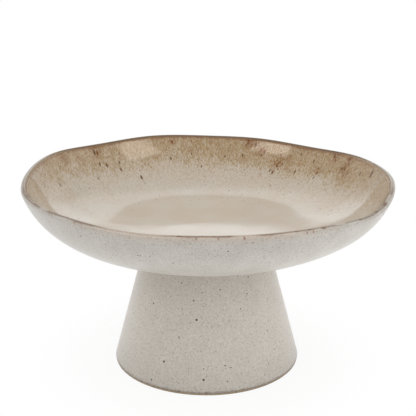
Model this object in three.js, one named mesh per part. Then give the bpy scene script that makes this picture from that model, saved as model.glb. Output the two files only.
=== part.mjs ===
// A stoneware chalice bowl: a shallow bowl with a hand-shaped, wavy rim, luted with slip onto a
// hollow conical foot, with one glaze inside and another outside.
// Millimetres, +Z up. The origin is on the table, at the centre of the foot. The front is -Y.
import * as THREE from "three";

// Driving dimensions: the bowl
const RIM_RADIUS = 145;
const BOWL_HEIGHT = 50.4;
const RIM_THICKNESS = 4;
const LIP_RISE = 2.6;
const ARRIS_WIDTH = 1;
const WALL_FLARE = THREE.MathUtils.degToRad(22);
const FLOOR_THICKNESS = 5.6;

// How far the two handles of the outside's curve reach, as shares of its run and of its rise
const UNDERSIDE_PULL = 0.65;
const WALL_PULL = 0.53;

// The same for the inside's curve, and how far its upper handle leans from upright
const FLOOR_PULL = 0.68;
const INSIDE_PULL = 1.01;
const INSIDE_FLARE = THREE.MathUtils.degToRad(26);

// The waves of the hand-shaped rim: crests round the rim, height, and the direction of one crest,
// in degrees from the front towards the right
const RIM_WAVES = [
  { crests: 1, height: 1.5, at: -109 },
  { crests: 2, height: 0.7, at: 65 },
  { crests: 3, height: 1.3, at: -13 },
  { crests: 4, height: 0.7, at: 1 },
  { crests: 5, height: 0.9, at: 28 },
  { crests: 6, height: 0.5, at: 17 },
  { crests: 7, height: 0.2, at: -7 },
  { crests: 8, height: 0.3, at: -16 },
  { crests: 9, height: 0.35, at: 0 },
];
const RIM_LEAN = 1.1;

// Driving dimensions: the foot and the joint
const FOOT_RADIUS = 75.5;
const FOOT_HEIGHT = 100.6;
const NECK_RADIUS = 48.6;
const FOOT_WALL = 7;
const FOOT_EDGE_ROUND = 1.5;
const SLIP_THICKNESS = 1;
const OUTER_FILLET = 2;
const INNER_FILLET = 3.5;
const UNDERSIDE_LEDGE = 3;

// Driving dimensions: the glazes
const INNER_GLAZE_AT_RIM = 0.35;
const INNER_GLAZE_IN_WELL = 0.8;
const OUTER_GLAZE = 0.45;
const BARE_BAND = 0.5;

// How finely the round forms are cut
const SEGMENTS = 64;
const WALL_STEPS = 8;
const INSIDE_STEPS = 11;
const ARC_STEPS = 3;

// Heights and radii that follow from the sizes above
const baseHeight = FOOT_HEIGHT + SLIP_THICKNESS;
const floorHeight = baseHeight + FLOOR_THICKNESS;
const rimHeight = baseHeight + BOWL_HEIGHT;
const flatRadius = NECK_RADIUS + OUTER_FILLET + UNDERSIDE_LEDGE;
const calmHeight = floorHeight + INNER_GLAZE_IN_WELL;
const footSlope = (FOOT_RADIUS - NECK_RADIUS) / FOOT_HEIGHT;

const point = (r, z) => new THREE.Vector2(r, z);

// Points of a curve without its first one, which the outline already holds
const along = (curve, steps) => curve.getPoints(steps).slice(1);

// Height of the rim's waves at an angle from the front
function waveHeight(angle) {
  const crest = (wave) =>
    wave.height * Math.cos(wave.crests * (angle - THREE.MathUtils.degToRad(wave.at)));
  return RIM_WAVES.reduce((sum, wave) => sum + crest(wave), 0);
}

// The rim moves whole, the floor not at all, and the wall between them stretches smoothly
function waveShare(z) {
  return THREE.MathUtils.smoothstep(z, calmHeight, rimHeight);
}

// Carries a closed, anticlockwise outline (r, z) once round the axis and lets the rim wave.
// Each face's diagonal starts at its end of smaller radius, so two pieces that share a stretch
// of outline share its facets too.
function revolve(outline) {
  const positions = [];
  const index = [];
  const count = outline.length;
  for (let i = 0; i < SEGMENTS; i++) {
    const angle = (2 * Math.PI * i) / SEGMENTS;
    for (const { x: r, y: z } of outline) {
      const share = waveShare(z);
      positions.push(
        r * Math.sin(angle) + RIM_LEAN * share,
        -r * Math.cos(angle),
        z + waveHeight(angle) * share,
      );
    }
  }
  for (let i = 0; i < SEGMENTS; i++) {
    const next = (i + 1) % SEGMENTS;
    for (let j = 0; j < count; j++) {
      const k = (j + 1) % count;
      const [p, q] = [outline[j], outline[k]];
      const a = i * count + j;
      const b = next * count + j;
      const c = next * count + k;
      const d = i * count + k;
      const widens = p.x < q.x || (p.x === q.x && p.y < q.y);
      if (p.x === 0 && q.x === 0) continue;
      else if (p.x === 0) index.push(a, c, d);
      else if (q.x === 0) index.push(a, b, c);
      else if (widens) index.push(a, b, c, a, c, d);
      else index.push(a, b, d, b, c, d);
    }
  }
  const geometry = new THREE.BufferGeometry();
  geometry.setAttribute("position", new THREE.Float32BufferAttribute(positions, 3));
  geometry.setIndex(index);
  geometry.computeVertexNormals();
  return geometry;
}

// A curve's points moved square to it, to its left, by a thickness that changes evenly from its
// first point to its last
function offset(points, firstThickness, lastThickness) {
  const end = points.length - 1;
  return points.map((p, i) => {
    const before = points[Math.max(i - 1, 0)];
    const after = points[Math.min(i + 1, end)];
    const heading = after.clone().sub(before).normalize();
    const left = point(-heading.y, heading.x);
    const thickness = THREE.MathUtils.lerp(firstThickness, lastThickness, i / end);
    return p.clone().addScaledVector(left, thickness);
  });
}

// Outside of the bowl, from the edge of its flat underside up to the lip
const lipStart = point(RIM_RADIUS, rimHeight - LIP_RISE);
const wallRun = RIM_RADIUS - flatRadius;
const wallHandle = WALL_PULL * (lipStart.y - baseHeight);
const outerWall = new THREE.CubicBezierCurve(
  point(flatRadius, baseHeight),
  point(flatRadius + UNDERSIDE_PULL * wallRun, baseHeight),
  point(
    lipStart.x - wallHandle * Math.sin(WALL_FLARE),
    lipStart.y - wallHandle * Math.cos(WALL_FLARE),
  ),
  lipStart,
).getPoints(WALL_STEPS);

// Inside of the bowl, in one sweep from the middle of its floor up to the lip
const innerEdge = offset(outerWall, RIM_THICKNESS, RIM_THICKNESS)[WALL_STEPS];
const insideHandle = INSIDE_PULL * (innerEdge.y - floorHeight);
const innerWall = new THREE.CubicBezierCurve(
  point(0, floorHeight),
  point(FLOOR_PULL * innerEdge.x, floorHeight),
  point(
    innerEdge.x - insideHandle * Math.sin(INSIDE_FLARE),
    innerEdge.y - insideHandle * Math.cos(INSIDE_FLARE),
  ),
  innerEdge,
).getPoints(INSIDE_STEPS);

// The lip rolls over from the outside and ends in a crisp arris on the inside
const arris = point(innerEdge.x + ARRIS_WIDTH, rimHeight);
const lipTurn = point(
  lipStart.x + (rimHeight - lipStart.y) * Math.tan(WALL_FLARE),
  rimHeight,
);
const lip = along(new THREE.QuadraticBezierCurve(lipStart, lipTurn, arris), ARC_STEPS);

// The foot's outside at a height above the table
const footSide = (z) => point(FOOT_RADIUS - footSlope * z, z);
const footInside = (z) => point(FOOT_RADIUS - FOOT_WALL - footSlope * z, z);
const neck = footSide(FOOT_HEIGHT);
const neckInside = footInside(FOOT_HEIGHT);
const filletFoot = footSide(FOOT_HEIGHT - OUTER_FILLET);
const innerFilletFoot = footInside(FOOT_HEIGHT - INNER_FILLET);
const glazeStop = footSide(FOOT_EDGE_ROUND + BARE_BAND);
const ringEdge = footSide(FOOT_EDGE_ROUND);

// A hollow fillet between the bowl's underside and the foot's wall
const outerFillet = new THREE.QuadraticBezierCurve(
  point(neck.x + OUTER_FILLET, baseHeight),
  point(neck.x, baseHeight),
  filletFoot,
).getPoints(ARC_STEPS);
const innerFillet = new THREE.QuadraticBezierCurve(
  point(neckInside.x - INNER_FILLET, baseHeight),
  point(neckInside.x, baseHeight),
  innerFilletFoot,
).getPoints(ARC_STEPS);

function bowlBody() {
  return revolve([
    point(0, baseHeight),
    ...outerWall,
    ...lip,
    ...innerWall.toReversed(),
  ]);
}

function pedestalFoot() {
  const ringOutside = new THREE.QuadraticBezierCurve(
    point(FOOT_RADIUS - FOOT_EDGE_ROUND, 0),
    point(FOOT_RADIUS, 0),
    ringEdge,
  );
  const ringInside = new THREE.QuadraticBezierCurve(
    footInside(FOOT_EDGE_ROUND),
    point(FOOT_RADIUS - FOOT_WALL, 0),
    point(FOOT_RADIUS - FOOT_WALL + FOOT_EDGE_ROUND, 0),
  );
  return revolve([
    ...ringOutside.getPoints(ARC_STEPS),
    glazeStop,
    filletFoot,
    neck,
    neckInside,
    innerFilletFoot,
    ...ringInside.getPoints(ARC_STEPS),
  ]);
}

function jointSlip() {
  return revolve([
    neckInside,
    neck,
    ...outerFillet.toReversed(),
    ...innerFillet,
  ]);
}

// The inner glaze runs down while it melts: thin at the rim, deep in the well
function innerGlaze() {
  const face = offset(innerWall, INNER_GLAZE_IN_WELL, INNER_GLAZE_AT_RIM);
  face[0] = point(0, calmHeight);
  return revolve([...innerWall, ...face.toReversed()]);
}

// The outer glaze is one even coat from the lip, over the joint, to just above the table
function outerGlaze() {
  const seat = [
    ...lip.toReversed(),
    ...outerWall.toReversed(),
    ...outerFillet,
    glazeStop,
  ];
  const face = offset(seat, OUTER_GLAZE, OUTER_GLAZE);
  return revolve([...seat, ...face.toReversed()]);
}

const stoneware = new THREE.MeshStandardMaterial({ color: 0xb7a289, roughness: 0.9 });
const slip = new THREE.MeshStandardMaterial({ color: 0xab967c, roughness: 0.95 });
const glossGlaze = new THREE.MeshStandardMaterial({ color: 0xc6b6a2, roughness: 0.15 });
const mattGlaze = new THREE.MeshStandardMaterial({ color: 0xc9c2b7, roughness: 0.6 });

function piece(name, geometry, material) {
  const mesh = new THREE.Mesh(geometry, material);
  mesh.name = name;
  return mesh;
}

const chaliceBowl = new THREE.Group();
chaliceBowl.add(
  piece("bowl_body", bowlBody(), stoneware),
  piece("pedestal_foot", pedestalFoot(), stoneware),
  piece("joint_slip", jointSlip(), slip),
  piece("inner_glaze", innerGlaze(), glossGlaze),
  piece("outer_glaze", outerGlaze(), mattGlaze),
);

export default chaliceBowl;
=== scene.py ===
"""A stoneware chalice bowl on a white studio floor.

Clay, slip and two glazes are fine surfaces worked out on grids: each is an outline (radius, height)
carried once round the axis, with the waves of a hand-shaped rim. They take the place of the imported
solids and keep their sizes.
"""

import math

import bpy
import numpy as np
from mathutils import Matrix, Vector


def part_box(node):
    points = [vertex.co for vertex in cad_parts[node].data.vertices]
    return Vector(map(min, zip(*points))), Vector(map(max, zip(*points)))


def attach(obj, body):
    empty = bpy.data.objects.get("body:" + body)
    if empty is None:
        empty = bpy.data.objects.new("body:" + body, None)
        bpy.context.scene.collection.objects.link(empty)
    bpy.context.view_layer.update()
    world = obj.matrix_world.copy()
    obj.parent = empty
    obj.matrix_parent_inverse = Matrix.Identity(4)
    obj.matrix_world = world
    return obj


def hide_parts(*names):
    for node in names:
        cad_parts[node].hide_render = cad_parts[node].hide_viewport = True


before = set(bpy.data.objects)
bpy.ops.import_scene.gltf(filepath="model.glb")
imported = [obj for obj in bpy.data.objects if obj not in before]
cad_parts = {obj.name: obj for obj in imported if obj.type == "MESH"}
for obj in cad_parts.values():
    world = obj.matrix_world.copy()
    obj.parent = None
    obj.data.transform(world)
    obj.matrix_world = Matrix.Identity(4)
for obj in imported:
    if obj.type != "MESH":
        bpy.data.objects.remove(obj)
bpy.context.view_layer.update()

bl_info = {
    "name": "Stoneware Chalice Bowl",
    "version": (1, 0, 0),
    "blender": (4, 5, 0),
    "location": "3D View > Sidebar > Chalice Bowl",
    "description": "Dresses a footed stoneware bowl in its clay, slip and glazes, on a white stage",
    "category": "Add Mesh",
}

MM = 0.001

# Waves of the hand-shaped rim: crests round the rim, height in millimetres, and the direction of one
# crest in degrees from the front towards the right
RIM_WAVES = (
    (1, 1.5, -109),
    (2, 0.7, 65),
    (3, 1.3, -13),
    (4, 0.7, 1),
    (5, 0.9, 28),
    (6, 0.5, 17),
    (7, 0.2, -7),
    (8, 0.3, -16),
    (9, 0.35, 0),
)

# The most visible iron spots of the outside: angle from the front towards the right in degrees, distance
# along the surface from the arris and diameter in millimetres
OUTER_SPOTS = (
    (-7.5, 166, 1.9), (-27.5, 201.5, 1.9), (-1.5, 211, 1.9), (-35.5, 218, 1.5),
    (-44.5, 159.5, 1.4), (-9.5, 151.5, 1.4), (10.5, 143.5, 1.2), (33.5, 150, 1.2),
    (26.5, 160, 1.1), (47, 182, 1.2), (50, 200.5, 1.1), (12, 201.5, 1.3),
    (15.5, 203, 1.1), (42, 208.5, 1.1), (13, 214.5, 1.2), (-1.5, 203, 1.1),
    (-18.5, 181.5, 1.2), (36.5, 136.5, 1.3), (-4, 146, 1), (-67, 176, 1.1),
    (-21, 138.5, 1.1), (-20, 23, 1.2), (-18.5, 22, 1), (-16.5, 23, 1.1),
    (-37.5, 14.5, 1.3), (-10, 29, 1), (5, 14, 1.3), (-4.5, 7, 0.9),
    (11.5, 7, 1.1), (-55.5, 12, 1.1),
)

# Stretches where the brown line at the arris fades: angle, distance from the arris and length along
# the rim
FAINT_STRETCHES = (
    (-97, 0.5, 80), (-54, 0.5, 12), (-20, 0.5, 50), (10, 0.5, 16),
    (39, 0.5, 10), (69, 0.5, 14), (95, 0.5, 80),
)

# Dark spots on that line: angle, distance from the arris and length along the rim
RIM_MARKS = (
    (-70, 0.5, 5), (-60, 0.6, 5), (-7.5, 1.4, 3.8), (-1.5, 1.2, 2.2),
    (1.5, 1.2, 2), (5.5, 1.5, 2.4), (24, 1.2, 3), (28, 1.6, 3),
    (32.5, 2.2, 4.4), (47.5, 1.2, 5), (57, 1, 5), (64, 1, 7),
)

# Short runs below that line: angle, distance from the arris and length down the wall
RIM_RUNS = (
    (9.4, 3.4, 3.4), (26.9, 3.8, 2.8), (28.9, 3.8, 2.8), (-49.6, 2.8, 3),
    (-48.4, 3, 2.6), (-38.5, 3.2, 2.6), (-3, 3.4, 2.4), (2.6, 3.4, 2.4),
)

# Brown places at the edge of the foot: angle, distance along the surface and width
FOOT_MARKS = ((-0.3, 221.7, 2.6), (-15.8, 221.8, 2.4), (22, 221.8, 2), (-38, 221.8, 2))

# The most visible iron streaks of the inside: angle in degrees, depth below the rim and length in
# millimetres
INNER_STREAKS = (
    (-133.5, 5, 5), (-134, 16.5, 4.2), (-137, 18.5, 4.6), (-143, 18, 3.4),
    (-142.5, 25, 4.2), (-150, 37, 5.5), (-165, 20.5, 3.6), (-177.5, 29, 2.8),
    (173, 18, 3), (166, 16, 3.2), (151.5, 30, 4.4), (142, 25, 4),
    (136, 11, 3.2), (132, 27, 3), (110, 10.5, 4.4), (103, 6.5, 7),
    (168, 62, 2.4), (-130, 28.5, 3), (-107.5, 22.5, 3.6), (-173.5, 16, 2.6),
    (142.5, 6.5, 2.8), (153, 28.5, 3.2), (127.5, 3, 3.4), (119.5, 1.5, 3.2),
    (121, 12, 3), (164.5, 1, 3.4), (161.5, 4.5, 3.6), (158.5, 14.5, 2.8),
    (150.5, 19.5, 3), (149, 46.5, 2.4),
)

# Places where the iron blooms to rust: angle, depth below the rim and width
RUST_BLOOMS = (
    (-117.5, 5, 13), (-134.5, 3.5, 12), (-166.5, 4.5, 8), (163.5, 2, 15),
    (158.5, 8.5, 12), (149, 18.5, 25), (126.5, 2.5, 11), (119.5, 2.5, 10),
    (120.5, 11.5, 13), (132, 19, 11), (117.5, 15, 10),
)

# How finely the surfaces are cut: steps round the axis, along stretches that lie hidden, and along the
# stretches of the clay, the slip and the two glazes
TURN_STEPS = 400
HIDDEN_STEPS = 48
UNDERSIDE_STEPS = 24
CLAY_LIP_STEPS = 8
FOOT_EDGE_STEPS = 6
FOOT_WALL_STEPS = 4
FOOT_HOLLOW_STEPS = 120
SLIP_OUTER_STEPS = 10
SLIP_INNER_STEPS = 16
SLIP_TOP_STEPS = 6
WELL_STEPS = 140
GLAZE_LIP_STEPS = 14
GLAZE_WALL_STEPS = 90
GLAZE_LEDGE_STEPS = 3
GLAZE_FILLET_STEPS = 8
GLAZE_FOOT_STEPS = 48
GLAZE_FOOT_HIDDEN_STEPS = 8

# Width of a streak, a mark or a run as a share of its length, down the wall or along the rim
SLIMNESS = 0.48

# What counts as depth in the brown band: shares of the place to the right, of the place to the back and of
# the depth itself. A negative share lets the band reach deeper on that side.
BAND_LEAN = (-0.03, -0.035, 1.0)

# Twist of the inner glaze: a height that is a curve of the distance to the right, by falling powers, times
# the distance to the back. The curve stays level from an end on.
TWIST_CURVE = (-1.12, -0.126, 0.0014)
TWIST_END = 70 * MM

# Paper on the floor: sides of its outline, and radii of its rings in metres
PAPER_SIDES = 96
PAPER_RINGS = (0.3, 0.8, 2.0, 6.0)

# Lamps: angle from the front towards the right and angle above the table in degrees, distance from the
# bowl and width in metres, and radiance
LAMPS = (
    ("softbox_left", -53.5, 43, 1.3, 0.64, 3.4),
    ("softbox_right", 61.5, 44.5, 1.3, 0.46, 2.8),
    ("fill_left", -55, 42.5, 1.3, 0.6, 1.7),
    ("fill_right", 56, 44.5, 1.3, 0.6, 2.5),
    ("fill_low", 85, 8, 1.2, 0.65, 0.7),
    ("fill_front", 0, 28, 1.5, 0.65, 1.8),
    ("fill_back", -130, 25, 1.3, 1.08, 1.1),
    ("back", 180, 25, 1.4, 1.08, 0.55),
)
LAMP_AIM = (0.0, 0.0, 0.12)

# Widths of a lamp's sheets as shares of its own, and the gap between them
SHEETS = (1.0, 0.86, 0.72)
SHEET_GAP = 5 * MM

# Node kinds and settings that the materials use most
NOISE = "ShaderNodeTexNoise"
CELLS = "ShaderNodeTexVoronoi"
RANGE = "ShaderNodeMapRange"
MATH = "ShaderNodeMath"
VECTOR = "ShaderNodeVectorMath"
SPLIT = "ShaderNodeSeparateXYZ"
MIX = "ShaderNodeMix"
COLOUR = {"data_type": "RGBA", "out": 2}
SMOOTH = {"interpolation_type": "SMOOTHSTEP"}


def linear(hex_code):
    """sRGB hex colour as linear red, green and blue with full alpha."""
    srgb = np.array([int(hex_code[i:i + 2], 16) for i in (1, 3, 5)]) / 255
    rgb = np.where(srgb <= 0.04045, srgb / 12.92, ((srgb + 0.055) / 1.055) ** 2.4)
    return (*rgb, 1.0)


def smoothstep(x, low, high):
    """0 below low, 1 above high, and an S-shaped cubic between them."""
    u = np.clip((x - low) / (high - low), 0, 1)
    return u * u * (3 - 2 * u)


def length(name, description, millimetres):
    """A length property, with its default in millimetres."""
    return bpy.props.FloatProperty(
        name=name, description=description, default=millimetres * MM, unit="LENGTH", precision=4,
    )


def lean(name, description, degrees):
    """An angle property, with its default in degrees."""
    return bpy.props.FloatProperty(
        name=name, description=description, default=math.radians(degrees), subtype="ANGLE",
    )


def number(name, description, value):
    """A property without a unit."""
    return bpy.props.FloatProperty(name=name, description=description, default=value)


def colour(name, description, hex_code):
    """A colour property, with its default as an sRGB hex value."""
    return bpy.props.FloatVectorProperty(
        name=name, description=description, default=linear(hex_code), size=4, subtype="COLOR",
        min=0, max=1,
    )


class ChaliceSizes(bpy.types.PropertyGroup):
    """Sizes of the clay and of the coats on it."""

    rim_radius: length("Rim radius", "Radius of the bowl's outside, just below the lip", 145)
    base_height: length(
        "Base height", "Height of the bowl's flat underside above the table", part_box("bowl_body")[0].z / MM,
    )
    bowl_height: length("Bowl height", "Height of the bowl from its underside to its rim", 50.4)
    floor_thickness: length("Floor thickness", "Thickness of the bowl's floor", 5.6)
    rim_thickness: length("Rim thickness", "Thickness of the wall below the lip", 4)
    lip_rise: length("Lip rise", "Height over which the lip rolls over", 2.6)
    arris_width: length("Arris width", "Width of the bare edge inside the lip", 1)
    wall_flare: lean("Wall flare", "Lean of the wall below the lip, from upright", 22)
    underside_pull: number("Underside pull", "Reach of the curve along the underside", 0.65)
    wall_pull: number("Wall pull", "Reach of the curve down from the lip", 0.53)
    floor_pull: number("Floor pull", "Reach of the inside's curve along the floor", 0.68)
    inside_pull: number("Inside pull", "Reach of the inside's curve down from the lip", 1.01)
    inside_flare: lean("Inside flare", "Lean of the inside's upper handle, from upright", 26)
    rim_lean: length("Rim lean", "How far the rim sits to the right of the foot", 1.1)
    foot_radius: length("Foot radius", "Radius of the foot's cone at the table", 75.5)
    foot_height: length("Foot height", "Height of the foot's clay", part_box("pedestal_foot")[1].z / MM)
    neck_radius: length("Neck radius", "Radius of the foot's cone at the bowl", 48.6)
    foot_wall: length("Foot wall", "Thickness of the foot's wall, measured level", 7)
    foot_edge: length("Foot edge", "Rounding of the ring that the foot stands on", 1.5)
    outer_fillet: length("Outer fillet", "Fillet of slip outside the joint", 2)
    inner_fillet: length("Inner fillet", "Fillet of slip inside the hollow foot", 3.5)
    ledge: length("Ledge", "Flat underside outside the fillet", 3)
    bare_band: length("Bare band", "Bare clay above the rounded edge of the foot", 0.5)
    glaze_at_rim: length("Inner glaze at rim", "Thickness of the inner glaze at the rim", 0.35)
    glaze_in_well: length("Inner glaze in well", "Thickness of the inner glaze on the floor", 0.8)
    outer_glaze: length("Outer glaze", "Thickness of the outer glaze", 0.45)


class ChaliceFinish(bpy.types.PropertyGroup):
    """Colours of the clay and the glazes."""

    clay: colour("Clay", "Fired stoneware", "#c4b196")
    toasted_clay: colour("Toasted clay", "Clay browned by the kiln at its edges", "#73583a")
    slip: colour("Slip", "Fired slip of the joint", "#ab967c")
    well: colour("Well", "Inner glaze where it lies deep", "#d4ccbf")
    well_blush: colour("Well blush", "Warmer clouds of the deep glaze", "#d2c6b7")
    tan_band: colour("Tan band", "Inner glaze where it breaks towards the rim", "#b79f7b")
    toffee: colour("Toffee", "Browner patches of the band", "#9a774d")
    rust: colour("Rust", "Iron dots and clusters in the band", "#824e26")
    streak: colour("Streak", "Iron streaks of the inside and marks at the lip", "#6a421c")
    iron: colour("Iron", "Dark iron spots of the outside", "#432d19")
    oatmeal: colour("Oatmeal", "Outer glaze", "#dad5cd")
    oatmeal_shade: colour("Oatmeal shade", "Clouds and mottles in the outer glaze", "#b0a99e")
    oatmeal_warm: colour("Warm oatmeal", "Outer glaze on the foot", "#ded5c9")
    peach: colour("Peach", "Outer glaze where it thins at the lip", "#d9c0a8")
    tan: colour("Tan", "Runs below the lip", "#9a7355")


class ChaliceStage(bpy.types.PropertyGroup):
    """Camera and light."""

    camera_place: bpy.props.FloatVectorProperty(
        name="Camera place", description="Where the camera stands, from the centre of the foot",
        default=(0.0011, -0.7398, 0.3608), subtype="XYZ", unit="LENGTH",
    )
    camera_tilt: lean("Camera tilt", "How far the camera looks down", 17.565)
    lens: number("Lens", "Focal length, in millimetres on a 36 mm sensor", 84.16)
    ambient: number("Ambient light", "Strength of the even light from all round", 0.61)
    overhead: number("Overhead light", "Strength of the even light from straight above", 0.69)
    softbox_tint: colour("Softbox tint", "Colour of the two mirrored softboxes", "#fff5ea")


def curve2(points, t):
    """Quadratic Bezier curve through its three control points, for an array of shares t."""
    a, b, c = (np.asarray(p, float) for p in points)
    t = np.asarray(t)[:, None]
    return (1 - t) ** 2 * a + 2 * (1 - t) * t * b + t ** 2 * c


def curve3(points, t):
    """Cubic Bezier curve with four control points, for an array of shares t."""
    a, b, c, d = (np.asarray(p, float) for p in points)
    t = np.asarray(t)[:, None]
    return (1 - t) ** 3 * a + 3 * (1 - t) ** 2 * t * b + 3 * (1 - t) * t ** 2 * c + t ** 3 * d


def lefts(points):
    """Unit vectors square to a row of points, on its left, from each point's two neighbours."""
    heading = np.gradient(points, axis=0)
    heading /= np.linalg.norm(heading, axis=1, keepdims=True)
    return np.stack((-heading[:, 1], heading[:, 0]), axis=1)


def joined(*stretches):
    """One outline from stretches that each start where the last one ends."""
    first, *rest = (np.asarray(s, float) for s in stretches)
    return np.concatenate((first, *(s[1:] for s in rest)))


def straight(start, end, steps):
    """Evenly spaced points on a straight stretch."""
    return np.linspace(start, end, steps + 1)


def travel(outline):
    """Distance along an outline, from its first point to each of its points."""
    gaps = np.linalg.norm(np.diff(outline, axis=0), axis=1)
    return np.concatenate(([0.0], np.cumsum(gaps)))


class Outlines:
    """Outlines (radius, height) that the pieces share, in metres."""

    def __init__(self, sizes):
        self.sizes = sizes
        self.base = sizes.base_height
        self.floor = self.base + sizes.floor_thickness
        self.calm = self.floor + sizes.glaze_in_well
        self.rim = self.base + sizes.bowl_height
        self.flat = sizes.neck_radius + sizes.outer_fillet + sizes.ledge
        self.slope = (sizes.foot_radius - sizes.neck_radius) / sizes.foot_height
        self.lip_start = np.array((sizes.rim_radius, self.rim - sizes.lip_rise))
        inward = np.array((-math.cos(sizes.wall_flare), math.sin(sizes.wall_flare)))
        self.inner_edge = self.lip_start + sizes.rim_thickness * inward

    def outside(self, steps):
        """Outside of the bowl, from the edge of its flat underside up to the lip."""
        s = self.sizes
        lean = np.array((math.sin(s.wall_flare), math.cos(s.wall_flare)))
        handle = s.wall_pull * (self.lip_start[1] - self.base)
        corner = (self.flat + s.underside_pull * (s.rim_radius - self.flat), self.base)
        control = ((self.flat, self.base), corner, self.lip_start - handle * lean, self.lip_start)
        return curve3(control, np.linspace(0, 1, steps + 1))

    def inside(self, steps):
        """Inside of the bowl, in one sweep from the middle of its floor up to the lip."""
        s = self.sizes
        lean = np.array((math.sin(s.inside_flare), math.cos(s.inside_flare)))
        handle = s.inside_pull * (self.inner_edge[1] - self.floor)
        level = (s.floor_pull * self.inner_edge[0], self.floor)
        control = ((0.0, self.floor), level, self.inner_edge - handle * lean, self.inner_edge)
        return curve3(control, np.linspace(0, 1, steps + 1))

    def lip(self, steps):
        """The lip, from the outside wall over to the arris, with the arris as its last point."""
        s = self.sizes
        turn = (s.rim_radius + s.lip_rise * math.tan(s.wall_flare), self.rim)
        arris = (self.inner_edge[0] + s.arris_width, self.rim)
        return curve2((self.lip_start, turn, arris), np.linspace(0, 1, steps + 1))

    def foot_side(self, height, inset=0.0):
        """Radius of the foot's outside at a height, less an inset, with that height."""
        return np.array((self.sizes.foot_radius - inset - self.slope * height, height))

    def fillet(self, inset, reach, steps):
        """A hollow fillet from the bowl's underside down onto the foot's wall. A negative reach turns
        it towards the axis."""
        neck = self.foot_side(self.sizes.foot_height, inset)[0]
        lower = self.foot_side(self.sizes.foot_height - abs(reach), inset)
        control = ((neck + reach, self.base), (neck, self.base), lower)
        return curve2(control, np.linspace(0, 1, steps + 1))


def turn(steps):
    """Angles of even steps once round the axis, from the front towards the right."""
    return np.arange(steps) * (2 * math.pi / steps)


def wave_height(angle):
    """Height of the rim's waves: a sum of cosines round the rim, in metres."""
    crests, height, at = np.array(RIM_WAVES).T[:, :, None]
    return MM * (height * np.cos(crests * (angle - np.radians(at)))).sum(axis=0)


def carried_round(outline, lines, steps=TURN_STEPS):
    """Carries an outline (points, 2), or one that changes with the angle (steps, points, 2), once round
    the axis. The rim moves whole with its waves and its lean, the floor not at all, and the wall
    between them by an S-shaped share of its height."""
    angle = turn(steps)
    outline = np.broadcast_to(outline, (steps, *outline.shape[-2:]))
    r, z = outline[..., 0], outline[..., 1]
    share = smoothstep(z, lines.calm, lines.rim)
    x = r * np.sin(angle)[:, None] + lines.sizes.rim_lean * share
    y = -r * np.cos(angle)[:, None]
    return np.stack((x, y, z + wave_height(angle)[:, None] * share), axis=-1)


def flow_points(sizes, spots):
    """Places of spots in flow coordinates: the rim circle by angle, and the distance along the outline."""
    angle, along, _ = np.array(spots).T
    angle, radius = np.radians(angle), sizes.rim_radius
    return np.stack((radius * np.sin(angle), -radius * np.cos(angle), along * MM), axis=1)


def surface_points(grid, along, spots):
    """Grid points nearest to spots given by angle and by distance along the outline."""
    steps = len(grid)
    angle, distance, _ = np.array(spots).T
    i = np.rint(angle / 360 * steps).astype(int) % steps
    j = np.abs(along[None, :] - distance[:, None] * MM).argmin(axis=1)
    return grid[i, j]


def make_piece(name, grid, flow, radius, on_axis=False):
    """Makes a mesh object from a grid of points (steps, outline, 3), closed round the axis. An outline
    that starts and ends on the axis gets one point at each end, and any other closes on itself. The
    flow, how far along the outline a point lies, is kept with the direction round the axis."""
    steps, count = grid.shape[:2]
    angle = turn(steps)
    round_axis = np.stack((np.sin(angle), -np.cos(angle)), axis=1)[:, None] * radius
    along = np.broadcast_to(flow, (steps, count))[..., None]
    flow_grid = np.concatenate((np.broadcast_to(round_axis, (steps, count, 2)), along), axis=2)
    if on_axis:
        poles = grid[0, [0, -1]]
        pole_flow = flow_grid[0, [0, -1]]
        grid, flow_grid = grid[:, 1:-1], flow_grid[:, 1:-1]
        count -= 2
    index = np.arange(steps * count).reshape(steps, count)
    turned = np.roll(index, -1, axis=0)
    if on_axis:
        here, beside = index[:, :-1], turned[:, :-1]
        ahead, across = index[:, 1:], turned[:, 1:]
    else:
        here, beside = index, turned
        ahead, across = np.roll(index, -1, axis=1), np.roll(turned, -1, axis=1)
    faces = np.stack((here, beside, across, ahead), axis=-1).reshape(-1, 4).tolist()
    points, flows = grid.reshape(-1, 3), flow_grid.reshape(-1, 3)
    if on_axis:
        low, high = len(points), len(points) + 1
        points, flows = np.concatenate((points, poles)), np.concatenate((flows, pole_flow))
        faces += np.stack((turned[:, 0], index[:, 0], np.full(steps, low)), axis=1).tolist()
        faces += np.stack((index[:, -1], turned[:, -1], np.full(steps, high)), axis=1).tolist()
    mesh = bpy.data.meshes.new(name)
    mesh.from_pydata(points.tolist(), [], faces)
    mesh.attributes.new("flow", "FLOAT_VECTOR", "POINT").data.foreach_set("vector", flows.ravel())
    mesh.polygons.foreach_set("use_smooth", np.ones(len(faces), bool))
    mesh.update()
    piece = bpy.data.objects.new(name, mesh)
    bpy.context.scene.collection.objects.link(piece)
    return piece


def dress(piece, node, material):
    """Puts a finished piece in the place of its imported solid."""
    piece.data.materials.append(material)
    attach(piece, "root")
    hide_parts(node)


def add(tree, kind, inputs=(), out=0, **settings):
    """Adds a node with its settings, fills or links its inputs, by identifier or in their order, and
    returns one output."""
    node = tree.nodes.new(kind)
    for name, value in settings.items():
        setattr(node, name, value)
    sockets = {socket.identifier: socket for socket in node.inputs}
    named = inputs if isinstance(inputs, dict) else dict(zip(sockets, inputs))
    for name, value in named.items():
        if isinstance(value, bpy.types.NodeSocket):
            tree.links.new(value, sockets[name])
        else:
            sockets[name].default_value = value
    return node.outputs[out] if node.outputs else node


def new_material(name):
    """An empty node material."""
    material = bpy.data.materials.new(name)
    material.use_nodes = True
    material.node_tree.nodes.clear()
    return material, material.node_tree


def per(millimetres):
    """Texture scale at which one cell or swell is this many millimetres wide."""
    return 1 / (millimetres * MM)


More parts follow.
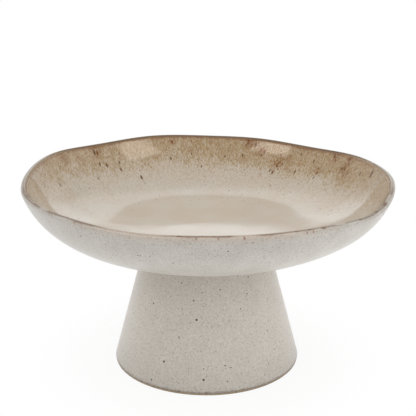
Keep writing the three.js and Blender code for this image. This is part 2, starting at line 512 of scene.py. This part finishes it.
def nearest_spot(tree, place, points, widths):
    """Distance to the nearest of some spots, as a share of that spot's radius."""
    nearest = None
    for point, width in zip(points, widths):
        away = add(tree, VECTOR, (place, tuple(point)), operation="DISTANCE", out="Value")
        share = add(tree, MATH, (away, 2 / width), operation="MULTIPLY")
        if nearest is None:
            nearest = share
        else:
            nearest = add(tree, MATH, (nearest, share), operation="MINIMUM")
    return nearest


def nearest_mark(tree, flow, sizes, marks, stretch):
    """Distance to the nearest of some long marks: the flow coordinates are squeezed along the marks, so
    that each one becomes a round spot of its length times the squeeze."""
    squeezed = add(tree, VECTOR, (flow, stretch), operation="MULTIPLY")
    points = flow_points(sizes, marks) * np.array(stretch)
    return nearest_spot(tree, squeezed, points, [long * MM * min(stretch) for *_, long in marks])


def layered(tree, base, *layers):
    """Lays colours over a base one after another, each by its own factor."""
    for factor, over in layers:
        base = add(tree, MIX, {"Factor_Float": factor, "A_Color": base, "B_Color": over}, **COLOUR)
    return base


def gloss_reactive_glaze(finish, sizes):
    """Glossy reactive stoneware glaze, poured: deep and pale in the well, broken to a golden-brown band
    below the rim with toffee patches, rust dots and iron streaks. It mirrors softly, like glass."""
    material, tree = new_material("gloss_reactive_glaze")
    flow = add(tree, "ShaderNodeAttribute", attribute_name="flow", out="Vector")
    place = add(tree, "ShaderNodeTexCoord", out="Object")
    depth = add(tree, SPLIT, {"Vector": flow}, out="Z")
    # The band reaches deepest at the back right, and its edge wanders
    leant = add(tree, VECTOR, (flow, BAND_LEAN), operation="DOT_PRODUCT", out="Value")
    wander = add(tree, NOISE, {"Vector": flow, "Scale": per(24), "Detail": 2.0})
    edge = add(tree, MATH, (wander, 18 * MM, -12.5 * MM), operation="MULTIPLY_ADD")
    edge = add(tree, MATH, (leant, edge), operation="ADD")
    patches = add(tree, NOISE, {"Vector": flow, "Scale": per(9), "Detail": 2.0})
    edge = add(tree, MATH, (patches, -19 * MM, edge), operation="MULTIPLY_ADD")
    band = add(tree, RANGE, {"Value": edge, "From Min": 27 * MM, "From Max": -8 * MM}, **SMOOTH)
    tail = add(tree, RANGE, {"Value": edge, "From Min": 68 * MM, "From Max": 7 * MM, "To Max": 0.34})
    band = add(tree, MATH, (band, tail), operation="MAXIMUM")
    # Short strokes drawn out down the wall, strongest in the band
    drawn = add(tree, VECTOR, (flow, (1, 1, 0.5)), operation="MULTIPLY")
    strokes = add(tree, NOISE, {"Vector": drawn, "Scale": per(1.3), "Detail": 2.0, "Roughness": 0.6})
    stroke = add(tree, MATH, (strokes, 0.5), operation="SUBTRACT")
    gain = add(tree, RANGE, {"Value": band, "From Max": 0.45, "To Min": 0.3, "To Max": 2.6})
    stroke = add(tree, MATH, (stroke, gain), operation="MULTIPLY")
    brown = add(tree, MATH, (band, 0.9, stroke), operation="MULTIPLY_ADD")
    broken = add(tree, RANGE, {"Value": brown})
    # It stays paler at the two sides
    beside = add(tree, SPLIT, {"Vector": flow}, out="Y")
    beside = add(tree, MATH, (beside, 35 * MM), operation="ADD")
    beside = add(tree, MATH, (beside,), operation="ABSOLUTE")
    beside = add(tree, RANGE, {"Value": beside, "From Min": 10 * MM, "From Max": 80 * MM, "To Min": 0.45})
    broken = add(tree, MATH, (broken, beside), operation="MULTIPLY")
    blush = add(tree, NOISE, {"Vector": place, "Scale": per(28), "Detail": 1.0})
    blush = add(tree, RANGE, {"Value": blush, "From Min": 0.35, "From Max": 0.65})
    # Toffee patches, densest just below the rim and in the blooms
    bloom = nearest_mark(tree, flow, sizes, RUST_BLOOMS, (1, 1, 1))
    bloom = add(tree, RANGE, {"Value": bloom, "From Min": 1.5, "From Max": 0.2, "To Max": 0.3}, **SMOOTH)
    near_rim = add(tree, RANGE, {"Value": depth, "From Min": 26 * MM, "From Max": 0.0, "To Max": 0.2})
    wanted = add(tree, MATH, (bloom, near_rim), operation="ADD")
    mottle = add(tree, NOISE, {"Vector": drawn, "Scale": per(1.4), "Detail": 3.0, "Roughness": 0.65})
    mixed = add(tree, MATH, (patches, 0.6, wanted), operation="MULTIPLY_ADD")
    mixed = add(tree, MATH, (mottle, 2.2, mixed), operation="MULTIPLY_ADD")
    toffee = add(tree, RANGE, {"Value": mixed, "From Min": 1.4, "From Max": 2.1, "To Max": 0.95})
    toffee = add(tree, MATH, (toffee, broken), operation="MULTIPLY")
    wash = add(tree, MATH, (toffee, bloom), operation="MULTIPLY")
    wash = add(tree, RANGE, {"Value": wash, "From Max": 0.24, "To Max": 0.42})
    # Rust dots, thickest in the blooms, and fine specks that thin out into the well
    short = add(tree, VECTOR, (flow, (1, 1, 0.7)), operation="MULTIPLY")
    dots = add(tree, CELLS, {"Vector": short, "Scale": per(3.1)})
    size = add(tree, "ShaderNodeSeparateColor", {"Color": dots.node.outputs["Color"]})
    size = add(tree, RANGE, {"Value": size, "To Min": 0.25, "To Max": 1.35})
    reach = add(tree, MATH, (near_rim, 0.45, bloom), operation="MULTIPLY_ADD")
    reach = add(tree, MATH, (reach, size), operation="MULTIPLY")
    dot = add(tree, MATH, (reach, dots), operation="SUBTRACT")
    dot = add(tree, RANGE, {"Value": dot, "From Min": -0.05, "From Max": 0.04, "To Max": 0.95})
    cells = add(tree, CELLS, {"Vector": short, "Scale": per(2.0)})
    reach = add(tree, RANGE, {"Value": leant, "From Min": 75 * MM, "From Max": 15 * MM,
                              "To Min": 0.05, "To Max": 0.3})
    speck = add(tree, MATH, (cells, reach), operation="LESS_THAN")
    speck = add(tree, MATH, (speck, 0.35), operation="MULTIPLY")
    sparse = add(tree, CELLS, {"Vector": short, "Scale": per(8)})
    shallow = add(tree, RANGE, {"Value": depth, "From Min": 110 * MM, "From Max": 75 * MM,
                                "To Min": 0.1, "To Max": 0.55})
    fleck = add(tree, RANGE, {"Value": sparse, "From Min": 0.12, "From Max": 0.07, "To Max": shallow})
    # Iron streaks, set one by one
    streak = nearest_mark(tree, flow, sizes, INNER_STREAKS, (1, 1, SLIMNESS))
    streak = add(tree, RANGE, {"Value": streak, "From Min": 1.3, "From Max": 0.6, "To Max": 0.95})
    # The thin glaze at the rim lets the browned clay through
    uneven = add(tree, NOISE, {"Vector": flow, "Scale": per(4), "Detail": 2.0})
    thin = add(tree, MATH, (uneven, -4 * MM, depth), operation="MULTIPLY_ADD")
    thin = add(tree, RANGE, {"Value": thin, "From Min": 0.2 * MM, "From Max": -1.8 * MM, "To Max": 0.6})
    base = layered(
        tree, finish.well, (blush, finish.well_blush), (broken, finish.tan_band), (toffee, finish.toffee),
        (wash, finish.rust), (dot, finish.rust), (speck, finish.rust), (fleck, finish.rust),
        (streak, finish.streak), (thin, finish.rust),
    )
    # It pooled a little askew: a twist of half a millimetre on the floor, which only the mirrored rim shows
    across = add(tree, SPLIT, {"Vector": place}, out="X")
    behind = add(tree, SPLIT, {"Vector": place}, out="Y")
    across = add(tree, MATH, (across, TWIST_END), operation="MINIMUM")
    twist, *factors = TWIST_CURVE
    for factor in factors:
        twist = add(tree, MATH, (across, twist, factor), operation="MULTIPLY_ADD")
    twist = add(tree, MATH, (twist, behind), operation="MULTIPLY")
    askew = add(tree, "ShaderNodeBump", {"Height": twist, "Distance": 1.0})
    ripple = add(tree, NOISE, {"Vector": place, "Scale": per(16), "Detail": 1.0})
    bump = add(tree, "ShaderNodeBump", {"Height": ripple, "Strength": 0.12, "Distance": 0.4 * MM,
                                        "Normal": askew})
    shader = add(tree, "ShaderNodeBsdfPrincipled", {
        "Base Color": base, "Roughness": 0.075, "IOR": 1.6, "Normal": bump,
    })
    add(tree, "ShaderNodeOutputMaterial", {"Surface": shader})
    return material


def satin_oatmeal_glaze(finish, sizes, spot_points, foot_points):
    """Satin oatmeal stoneware glaze, sprayed: an even, faintly clouded coat with fine dots and sparse
    iron spots, thin and brown where it breaks over the lip. Its sheen brightens towards the outline."""
    material, tree = new_material("satin_oatmeal_glaze")
    flow = add(tree, "ShaderNodeAttribute", attribute_name="flow", out="Vector")
    place = add(tree, "ShaderNodeTexCoord", out="Object")
    depth = add(tree, SPLIT, {"Vector": flow}, out="Z")
    height = add(tree, SPLIT, {"Vector": place}, out="Z")
    round_axis = add(tree, SPLIT, {"Vector": flow}, out="Y")
    front = add(tree, RANGE, {"Value": round_axis, "From Min": -105 * MM, "From Max": -138 * MM})
    behind = add(tree, RANGE, {"Value": round_axis, "From Min": 10 * MM, "From Max": 50 * MM})
    clouds = add(tree, NOISE, {"Vector": place, "Scale": per(16), "Detail": 3.0, "Roughness": 0.5})
    clouds = add(tree, RANGE, {"Value": clouds, "From Min": 0.3, "From Max": 0.7, "To Max": 0.3})
    mottle = add(tree, NOISE, {"Vector": place, "Scale": per(1.3), "Detail": 2.0, "Roughness": 0.65})
    mottle = add(tree, RANGE, {"Value": mottle, "From Min": 0.35, "From Max": 0.7, "To Max": 0.6})
    on_foot = add(tree, RANGE, {"Value": height, "From Min": 110 * MM, "From Max": 85 * MM, "To Max": 0.5})
    # Fine dots, faint
    cells = add(tree, CELLS, {"Vector": place, "Scale": per(3.2)})
    dot = add(tree, RANGE, {"Value": cells, "From Min": 0.19, "From Max": 0.1, "To Max": 0.5})
    # Iron spots with a pale halo: those in view set one by one, those behind scattered
    spot = nearest_spot(tree, place, spot_points, [width * MM for *_, width in OUTER_SPOTS])
    halo = add(tree, RANGE, {"Value": spot, "From Min": 3.0, "From Max": 1.4, "To Max": 0.3})
    core = add(tree, RANGE, {"Value": spot, "From Min": 1.15, "From Max": 0.75, "To Max": 0.95})
    sparse = add(tree, CELLS, {"Vector": place, "Scale": per(11)})
    sparse = add(tree, RANGE, {"Value": sparse, "From Min": 0.085, "From Max": 0.055, "To Max": behind})
    # The coat thins to peach in front and to brown at the arris, in an uneven line
    uneven = add(tree, NOISE, {"Vector": flow, "Scale": per(3), "Detail": 2.0})
    slow = add(tree, NOISE, {"Vector": flow, "Scale": per(16), "Detail": 1.0})
    wide = add(tree, MATH, (uneven, 6 * MM, depth), operation="MULTIPLY_ADD")
    warm = add(tree, RANGE, {"Value": wide, "From Min": 11 * MM, "From Max": 4.5 * MM, "To Max": 0.5})
    warm = add(tree, MATH, (warm, front), operation="MULTIPLY")
    narrow = add(tree, MATH, (slow, 2 * MM, depth), operation="MULTIPLY_ADD")
    dark = nearest_mark(tree, flow, sizes, FAINT_STRETCHES, (1, 1, 1))
    dark = add(tree, RANGE, {"Value": dark, "From Min": 1.3, "From Max": 0.7, "To Min": 0.75,
                             "To Max": 0.3})
    thin = add(tree, RANGE, {"Value": narrow, "From Min": 4.0 * MM, "From Max": 2.8 * MM, "To Max": dark})
    mark = nearest_mark(tree, flow, sizes, RIM_MARKS, (SLIMNESS, SLIMNESS, 1))
    mark = add(tree, RANGE, {"Value": mark, "From Min": 1.2, "From Max": 0.5, "To Max": 0.85})
    run = nearest_mark(tree, flow, sizes, RIM_RUNS, (1, 1, SLIMNESS))
    run = add(tree, RANGE, {"Value": run, "From Min": 1.2, "From Max": 0.4, "To Max": 0.85})
    # It thins again at its lower edge
    hem = add(tree, MATH, (uneven, 5 * MM, height), operation="MULTIPLY_ADD")
    hem = add(tree, RANGE, {"Value": hem, "From Min": 5.4 * MM, "From Max": 3.6 * MM, "To Max": 0.35})
    # Fine brown dots gather at that edge and below the lip
    dust = add(tree, CELLS, {"Vector": place, "Scale": per(1.8)})
    pepper = add(tree, MATH, (dust, 24 * MM, height), operation="MULTIPLY_ADD")
    pepper = add(tree, RANGE, {"Value": pepper, "From Min": 13 * MM, "From Max": 6 * MM, "To Max": 0.5})
    sprinkle = add(tree, MATH, (dust, 26 * MM, depth), operation="MULTIPLY_ADD")
    sprinkle = add(tree, RANGE, {"Value": sprinkle, "From Min": 13 * MM, "From Max": 7 * MM,
                                 "To Max": 0.35})
    chip = nearest_spot(tree, place, foot_points, [width * MM for *_, width in FOOT_MARKS])
    chip = add(tree, RANGE, {"Value": chip, "From Min": 1.2, "From Max": 0.4, "To Max": 0.7})
    base = layered(
        tree, finish.oatmeal, (clouds, finish.oatmeal_shade), (on_foot, finish.oatmeal_warm),
        (mottle, finish.oatmeal_shade), (dot, finish.rust), (halo, finish.oatmeal),
        (core, finish.iron), (sparse, finish.iron), (warm, finish.peach), (sprinkle, finish.tan),
        (thin, finish.toasted_clay), (mark, finish.streak), (run, finish.tan), (pepper, finish.tan),
        (hem, finish.toasted_clay), (chip, finish.rust),
    )
    grain = add(tree, NOISE, {"Vector": place, "Scale": per(1.2), "Detail": 1.0})
    bump = add(tree, "ShaderNodeBump", {"Height": grain, "Strength": 0.08, "Distance": 0.05 * MM})
    shader = add(tree, "ShaderNodeBsdfPrincipled", {
        "Base Color": base, "Roughness": 0.3, "IOR": 1.5, "Normal": bump,
    })
    add(tree, "ShaderNodeOutputMaterial", {"Surface": shader})
    return material


def bare_stoneware(finish):
    """Unglazed stoneware, turned on the wheel: dry, sandy and matt, with turning rings and dark grog, and
    toasted brown at the arris and at the ring that stands on the table."""
    material, tree = new_material("bare_stoneware")
    flow = add(tree, "ShaderNodeAttribute", attribute_name="flow", out="Vector")
    place = add(tree, "ShaderNodeTexCoord", out="Object")
    along = add(tree, SPLIT, {"Vector": flow}, out="Z")
    height = add(tree, SPLIT, {"Vector": place}, out="Z")
    # Sand in the clay, drawn coarser than it is so that it shows
    sand = add(tree, NOISE, {"Vector": place, "Scale": per(1.2), "Detail": 4.0, "Roughness": 0.7})
    shade = add(tree, RANGE, {"Value": sand, "From Min": 0.45, "From Max": 0.8, "To Max": 0.6})
    # Rings left by the turning tool, one every few millimetres
    rings = add(tree, NOISE, {"W": along, "Scale": per(3.4), "Detail": 2.0}, noise_dimensions="1D")
    ring = add(tree, RANGE, {"Value": rings, "From Min": 0.45, "From Max": 0.7, "To Max": 0.35})
    grog = add(tree, CELLS, {"Vector": place, "Scale": per(4)})
    grog = add(tree, RANGE, {"Value": grog, "From Min": 0.14, "From Max": 0.08, "To Max": 0.7})
    # The arris takes less of the toasted brown towards the two sides, left and right as seen from the front
    sideways = add(tree, SPLIT, {"Vector": flow}, out="X")
    sideways = add(tree, MATH, (sideways,), operation="ABSOLUTE")
    toast = add(tree, RANGE, {"Value": sideways, "From Min": 115 * MM, "From Max": 138 * MM,
                              "To Min": 0.82, "To Max": 0.25})
    arris = add(tree, RANGE, {"Value": height, "From Min": 125 * MM, "From Max": 135 * MM,
                             "To Max": toast})
    ring_edge = add(tree, RANGE, {"Value": height, "From Min": 5 * MM, "From Max": 1.5 * MM,
                                  "To Max": 0.1})
    base = layered(
        tree, finish.clay, (shade, finish.toasted_clay), (ring, finish.slip), (grog, finish.iron),
        (arris, finish.toasted_clay), (ring_edge, finish.toasted_clay),
    )
    relief = add(tree, MATH, (rings, 2.0, sand), operation="MULTIPLY_ADD")
    bump = add(tree, "ShaderNodeBump", {"Height": relief, "Strength": 0.4, "Distance": 0.2 * MM})
    shader = add(tree, "ShaderNodeBsdfPrincipled", {
        "Base Color": base, "Roughness": 0.85, "Normal": bump,
    })
    add(tree, "ShaderNodeOutputMaterial", {"Surface": shader})
    return material


def fired_slip(finish):
    """Slip of the joint, wiped round with a wet sponge: smoother and darker than the clay, and matt."""
    material, tree = new_material("fired_slip")
    flow = add(tree, "ShaderNodeAttribute", attribute_name="flow", out="Vector")
    wiped = add(tree, VECTOR, (flow, (0.12, 0.12, 1)), operation="MULTIPLY")
    wipes = add(tree, NOISE, {"Vector": wiped, "Scale": per(1.4), "Detail": 3.0})
    shade = add(tree, RANGE, {"Value": wipes, "From Min": 0.35, "From Max": 0.75, "To Max": 0.7})
    base = layered(tree, finish.slip, (shade, finish.toasted_clay))
    bump = add(tree, "ShaderNodeBump", {"Height": wipes, "Strength": 0.3, "Distance": 0.3 * MM})
    shader = add(tree, "ShaderNodeBsdfPrincipled", {
        "Base Color": base, "Roughness": 0.8, "Normal": bump,
    })
    add(tree, "ShaderNodeOutputMaterial", {"Surface": shader})
    return material


def white_floor():
    """Matt white studio paper. A camera or a mirror sees it nearly white, with the bowl's shadow. To the bowl
    it glows, though it is no lamp: a painted light in place of a lit table top. The glow is bright around the
    bowl, most so at its right, dim in a painted shadow under the bowl, and dark further out."""
    material, tree = new_material("white_studio_paper")
    place = add(tree, "ShaderNodeTexCoord", out="Object")
    away = add(tree, VECTOR, (place,), operation="LENGTH", out="Value")
    paper = add(tree, "ShaderNodeBsdfDiffuse", {"Color": linear("#f4f4f2")})
    glow = add(tree, "ShaderNodeEmission", {"Color": (1, 1, 1, 1), "Strength": 1.0})
    share = add(tree, RANGE, {"Value": away, "From Min": 75 * MM, "From Max": 160 * MM, "To Min": 0.9,
                              "To Max": 1.0}, **SMOOTH)
    white = add(tree, "ShaderNodeMixShader", {"Fac": share, "Shader": paper, "Shader_001": glow})
    # Painted light: how strongly the paper glows towards the bowl, dim in a painted shadow under it, bright
    # around it and fading further out
    lit = add(tree, RANGE, {"Value": away, "From Min": 130 * MM, "From Max": 185 * MM, "To Min": 0.3,
                            "To Max": 1.9}, **SMOOTH)
    fall = add(tree, RANGE, {"Value": away, "From Min": 370 * MM, "From Max": 180 * MM, "To Min": 0.05},
               **SMOOTH)
    lit = add(tree, MATH, (lit, fall), operation="MULTIPLY")
    # Painted light: the glow is stronger towards the right
    right = add(tree, SPLIT, {"Vector": place}, out="X")
    right = add(tree, RANGE, {"Value": right, "From Min": 50 * MM, "From Max": 200 * MM, "To Min": 1.0,
                              "To Max": 1.35})
    lit = add(tree, MATH, (lit, right), operation="MULTIPLY")
    # Painted light: only diffuse rays see this glow, which lights the bowl from below
    below = add(tree, "ShaderNodeEmission", {"Color": (1, 1, 1, 1), "Strength": lit})
    diffuse = add(tree, "ShaderNodeLightPath", out="Is Diffuse Ray")
    mixed = add(tree, "ShaderNodeMixShader", {"Fac": diffuse, "Shader": white, "Shader_001": below})
    add(tree, "ShaderNodeOutputMaterial", {"Surface": mixed})
    return material


class CHALICE_OT_bowl_body(bpy.types.Operator):
    """Makes the bowl's clay, bare at the arris and inside the hollow foot"""

    bl_idname = "chalice.bowl_body"
    bl_label = "Bowl body"

    def execute(self, context):
        lines = Outlines(context.scene.chalice_sizes)
        lip = lines.lip(CLAY_LIP_STEPS)
        outline = joined(
            straight((0, lines.base), (lines.flat, lines.base), UNDERSIDE_STEPS),
            lines.outside(HIDDEN_STEPS), lip, [lip[-1], lines.inner_edge],
            lines.inside(HIDDEN_STEPS)[::-1],
        )
        grid = carried_round(outline, lines)
        piece = make_piece("bowl_body_clay", grid, travel(outline), lines.sizes.rim_radius, on_axis=True)
        dress(piece, "bowl_body", bare_stoneware(context.scene.chalice_finish))
        return {"FINISHED"}


class CHALICE_OT_pedestal_foot(bpy.types.Operator):
    """Makes the foot's clay, with its hollow and the ring that it stands on"""

    bl_idname = "chalice.pedestal_foot"
    bl_label = "Pedestal foot"

    def execute(self, context):
        sizes = context.scene.chalice_sizes
        lines = Outlines(sizes)
        share = np.linspace(0, 1, FOOT_EDGE_STEPS + 1)
        outer_corner = (sizes.foot_radius, 0.0)
        inner_corner = (sizes.foot_radius - sizes.foot_wall, 0.0)
        ring_outside = curve2((
            (sizes.foot_radius - sizes.foot_edge, 0.0), outer_corner, lines.foot_side(sizes.foot_edge),
        ), share)
        ring_inside = curve2((
            lines.foot_side(sizes.foot_edge, sizes.foot_wall), inner_corner,
            (inner_corner[0] + sizes.foot_edge, 0.0),
        ), share)
        neck = lines.foot_side(sizes.foot_height)
        neck_inside = lines.foot_side(sizes.foot_height, sizes.foot_wall)
        outline = joined(
            ring_outside,
            straight(ring_outside[-1], neck, HIDDEN_STEPS),
            straight(neck, neck_inside, FOOT_WALL_STEPS),
            straight(neck_inside, ring_inside[0], FOOT_HOLLOW_STEPS),
            ring_inside,
            straight(ring_inside[-1], ring_outside[0], FOOT_WALL_STEPS),
        )[:-1]
        grid = carried_round(outline, lines)
        piece = make_piece("pedestal_foot_clay", grid, travel(outline), lines.sizes.rim_radius)
        dress(piece, "pedestal_foot", bare_stoneware(context.scene.chalice_finish))
        return {"FINISHED"}


class CHALICE_OT_joint_slip(bpy.types.Operator):
    """Makes the layer of slip between bowl and foot, with its two fillets"""

    bl_idname = "chalice.joint_slip"
    bl_label = "Joint slip"

    def execute(self, context):
        sizes = context.scene.chalice_sizes
        lines = Outlines(sizes)
        outer = lines.fillet(0.0, sizes.outer_fillet, SLIP_OUTER_STEPS)
        inner = lines.fillet(sizes.foot_wall, -sizes.inner_fillet, SLIP_INNER_STEPS)
        neck = lines.foot_side(sizes.foot_height)
        neck_inside = lines.foot_side(sizes.foot_height, sizes.foot_wall)
        outline = joined(
            straight(neck_inside, neck, FOOT_WALL_STEPS), [neck, outer[-1]], outer[::-1],
            straight(outer[0], inner[0], SLIP_TOP_STEPS), inner, [inner[-1], neck_inside],
        )[:-1]
        grid = carried_round(outline, lines)
        piece = make_piece("joint_slip_fillet", grid, travel(outline), lines.sizes.rim_radius)
        dress(piece, "joint_slip", fired_slip(context.scene.chalice_finish))
        return {"FINISHED"}


class CHALICE_OT_inner_glaze(bpy.types.Operator):
    """Makes the glossy glaze of the inside"""

    bl_idname = "chalice.inner_glaze"
    bl_label = "Inner glaze"

    def execute(self, context):
        sizes = context.scene.chalice_sizes
        lines = Outlines(sizes)
        seat = lines.inside(HIDDEN_STEPS)
        wall = lines.inside(WELL_STEPS)
        share = np.linspace(0, 1, len(wall))[:, None]
        thickness = sizes.glaze_in_well + (sizes.glaze_at_rim - sizes.glaze_in_well) * share
        face = wall + lefts(wall) * thickness
        face[0] = (0.0, lines.calm)
        outline = np.concatenate((seat, face[::-1]))
        flow = np.concatenate((np.zeros(len(seat)), travel(face[::-1])))
        grid = carried_round(outline, lines)
        piece = make_piece("inner_glaze_coat", grid, flow, sizes.rim_radius, on_axis=True)
        material = gloss_reactive_glaze(context.scene.chalice_finish, sizes)
        dress(piece, "inner_glaze", material)
        return {"FINISHED"}


class CHALICE_OT_outer_glaze(bpy.types.Operator):
    """Makes the satin glaze of the outside, from the lip to just above the table"""

    bl_idname = "chalice.outer_glaze"
    bl_label = "Outer glaze"

    def execute(self, context):
        sizes = context.scene.chalice_sizes
        lines = Outlines(sizes)
        stop = lines.foot_side(sizes.foot_edge + sizes.bare_band)

        def seat(wall_steps, foot_steps):
            outside = lines.outside(wall_steps)
            fillet = lines.fillet(0.0, sizes.outer_fillet, GLAZE_FILLET_STEPS)
            return joined(
                lines.lip(GLAZE_LIP_STEPS)[::-1], outside[::-1],
                straight(outside[0], fillet[0], GLAZE_LEDGE_STEPS), fillet,
                straight(fillet[-1], stop, foot_steps),
            )

        fine = seat(GLAZE_WALL_STEPS, GLAZE_FOOT_STEPS)
        face = fine + lefts(fine) * sizes.outer_glaze
        hidden = seat(HIDDEN_STEPS, GLAZE_FOOT_HIDDEN_STEPS)
        outline = np.concatenate((hidden, face[::-1]))
        flow = np.concatenate((np.zeros(len(hidden)), travel(face)[::-1]))
        grid = carried_round(outline, lines)
        piece = make_piece("outer_glaze_coat", grid, flow, sizes.rim_radius)
        face_grid, face_flow = grid[:, len(hidden):], flow[len(hidden):]
        spots = surface_points(face_grid, face_flow, OUTER_SPOTS)
        foot_marks = surface_points(face_grid, face_flow, FOOT_MARKS)
        material = satin_oatmeal_glaze(context.scene.chalice_finish, sizes, spots, foot_marks)
        dress(piece, "outer_glaze", material)
        return {"FINISHED"}


class CHALICE_OT_stage(bpy.types.Operator):
    """Makes the white floor, the world, the lamps and the camera"""

    bl_idname = "chalice.stage"
    bl_label = "Stage"

    def execute(self, context):
        scene = context.scene
        stage = scene.chalice_stage
        scene.view_settings.view_transform = "Standard"
        self.make_floor(scene)
        self.make_world(scene, stage)
        self.make_lamps(scene, stage)
        self.make_camera(scene, stage)
        return {"FINISHED"}

    def make_floor(self, scene):
        """A round sheet of paper under the foot: rings of points on a disc."""
        angle = turn(PAPER_SIDES)
        ring = np.stack((np.sin(angle), -np.cos(angle), np.zeros(PAPER_SIDES)), axis=1)
        points = np.concatenate(([[0, 0, 0]], *(ring * radius for radius in PAPER_RINGS)))
        near = 1 + np.arange(PAPER_SIDES)
        beside = np.roll(near, -1)
        faces = np.stack((np.zeros(PAPER_SIDES, int), near, beside), axis=1).tolist()
        for inner in range(len(PAPER_RINGS) - 1):
            low, high = inner * PAPER_SIDES, (inner + 1) * PAPER_SIDES
            faces += np.stack((near + low, near + high, beside + high, beside + low), axis=1).tolist()
        mesh = bpy.data.meshes.new("studio_floor")
        mesh.from_pydata(points.tolist(), [], faces)
        floor = bpy.data.objects.new("studio_floor", mesh)
        mesh.materials.append(white_floor())
        scene.collection.objects.link(floor)

    def make_world(self, scene, stage):
        """White to the camera, pale at the back and dim in front, above and to the left to mirrors, and an
        even light, a little stronger from above, for everything else."""
        world = bpy.data.worlds.new("white_studio")
        world.use_nodes = True
        tree = world.node_tree
        tree.nodes.clear()
        camera, glossy, transmission = (add(tree, "ShaderNodeLightPath", out=f"Is {kind} Ray")
                                        for kind in ("Camera", "Glossy", "Transmission"))
        mirrored = add(tree, MATH, (glossy, transmission), operation="MAXIMUM")
        seen = add(tree, MATH, (camera, mirrored), operation="MAXIMUM")
        direction = add(tree, "ShaderNodeTexCoord", out="Generated")
        back = add(tree, SPLIT, {"Vector": direction}, out="Y")
        height = add(tree, SPLIT, {"Vector": direction}, out="Z")
        aside = add(tree, SPLIT, {"Vector": direction}, out="X")
        above = add(tree, RANGE, {"Value": height, "To Min": stage.ambient, "To Max": stage.overhead},
                    **SMOOTH)
        even = add(tree, "ShaderNodeBackground", {"Color": (1, 1, 1, 1), "Strength": above})
        level = add(tree, RANGE, {"Value": back, "From Min": -0.3, "From Max": 0.3, "To Min": 0.45,
                                  "To Max": 0.8}, **SMOOTH)
        lower = add(tree, RANGE, {"Value": height, "From Min": 0.34, "From Max": 0.46, "To Min": 1.0,
                                  "To Max": 0.5})
        level = add(tree, MATH, (level, lower), operation="MINIMUM")
        aside = add(tree, RANGE, {"Value": aside, "From Min": -0.3, "From Max": -0.05, "To Min": 0.65})
        level = add(tree, MATH, (level, aside), operation="MULTIPLY")
        level = add(tree, MATH, (level, camera), operation="MAXIMUM")
        white = add(tree, "ShaderNodeBackground", {"Color": (1, 1, 1, 1), "Strength": level})
        mixed = add(tree, "ShaderNodeMixShader", {"Fac": seen, "Shader": even, "Shader_001": white})
        add(tree, "ShaderNodeOutputWorld", {"Surface": mixed})
        scene.world = world

    def make_lamps(self, scene, stage):
        """Lamps, each turned to the bowl. Mirrors alone see the softboxes and never see the fills. Each
        lamp is sheets one behind the other, so that its edge fades."""
        for name, azimuth, elevation, distance, width, radiance in LAMPS:
            a, e = math.radians(azimuth), math.radians(elevation)
            away = np.array((math.sin(a) * math.cos(e), -math.cos(a) * math.cos(e), math.sin(e)))
            is_softbox, is_fill = name.startswith("softbox"), name.startswith("fill")
            for step, share in enumerate(SHEETS):
                data = bpy.data.lights.new(name, "AREA")
                data.size = share * width
                data.energy = radiance / len(SHEETS) * math.pi * data.size ** 2
                if is_softbox:
                    data.color = stage.softbox_tint[:3]
                lamp = bpy.data.objects.new(name, data)
                lamp.location = LAMP_AIM + away * (distance + step * SHEET_GAP)
                lamp.rotation_euler = Vector(-away).to_track_quat("-Z", "Y").to_euler()
                lamp.visible_glossy = not is_fill
                lamp.visible_diffuse = not is_softbox
                scene.collection.objects.link(lamp)

    def make_camera(self, scene, stage):
        """The camera stands in front, a little above, and looks down along +Y."""
        data = bpy.data.cameras.new("camera")
        data.lens = stage.lens
        camera = bpy.data.objects.new("camera", data)
        camera.location = stage.camera_place
        camera.rotation_euler = (math.pi / 2 - stage.camera_tilt, 0, 0)
        scene.collection.objects.link(camera)
        scene.camera = camera


MAKERS = (
    CHALICE_OT_bowl_body,
    CHALICE_OT_pedestal_foot,
    CHALICE_OT_joint_slip,
    CHALICE_OT_inner_glaze,
    CHALICE_OT_outer_glaze,
    CHALICE_OT_stage,
)


class CHALICE_PT_maker(bpy.types.Panel):
    """Lists the pieces of the bowl and the stage"""

    bl_idname = "CHALICE_PT_maker"
    bl_label = "Chalice Bowl"
    bl_space_type = "VIEW_3D"
    bl_region_type = "UI"
    bl_category = "Chalice Bowl"

    def draw(self, context):
        for maker in MAKERS:
            self.layout.operator(maker.bl_idname)
        for group in (context.scene.chalice_sizes, context.scene.chalice_finish,
                      context.scene.chalice_stage):
            column = self.layout.column(align=True)
            for name in group.bl_rna.properties.keys():
                if name not in ("rna_type", "name"):
                    column.prop(group, name)


CLASSES = (ChaliceSizes, ChaliceFinish, ChaliceStage, *MAKERS, CHALICE_PT_maker)


def register():
    """Registers the classes and puts their settings on the scene."""
    for cls in CLASSES:
        bpy.utils.register_class(cls)
    bpy.types.Scene.chalice_sizes = bpy.props.PointerProperty(type=ChaliceSizes)
    bpy.types.Scene.chalice_finish = bpy.props.PointerProperty(type=ChaliceFinish)
    bpy.types.Scene.chalice_stage = bpy.props.PointerProperty(type=ChaliceStage)


def unregister():
    """Takes the settings and the classes out again."""
    del bpy.types.Scene.chalice_stage
    del bpy.types.Scene.chalice_finish
    del bpy.types.Scene.chalice_sizes
    for cls in reversed(CLASSES):
        bpy.utils.unregister_class(cls)


def main():
    """Makes the bowl and its stage."""
    register()
    bpy.ops.chalice.bowl_body()
    bpy.ops.chalice.pedestal_foot()
    bpy.ops.chalice.joint_slip()
    bpy.ops.chalice.inner_glaze()
    bpy.ops.chalice.outer_glaze()
    bpy.ops.chalice.stage()


if __name__ == "__main__":
    main()
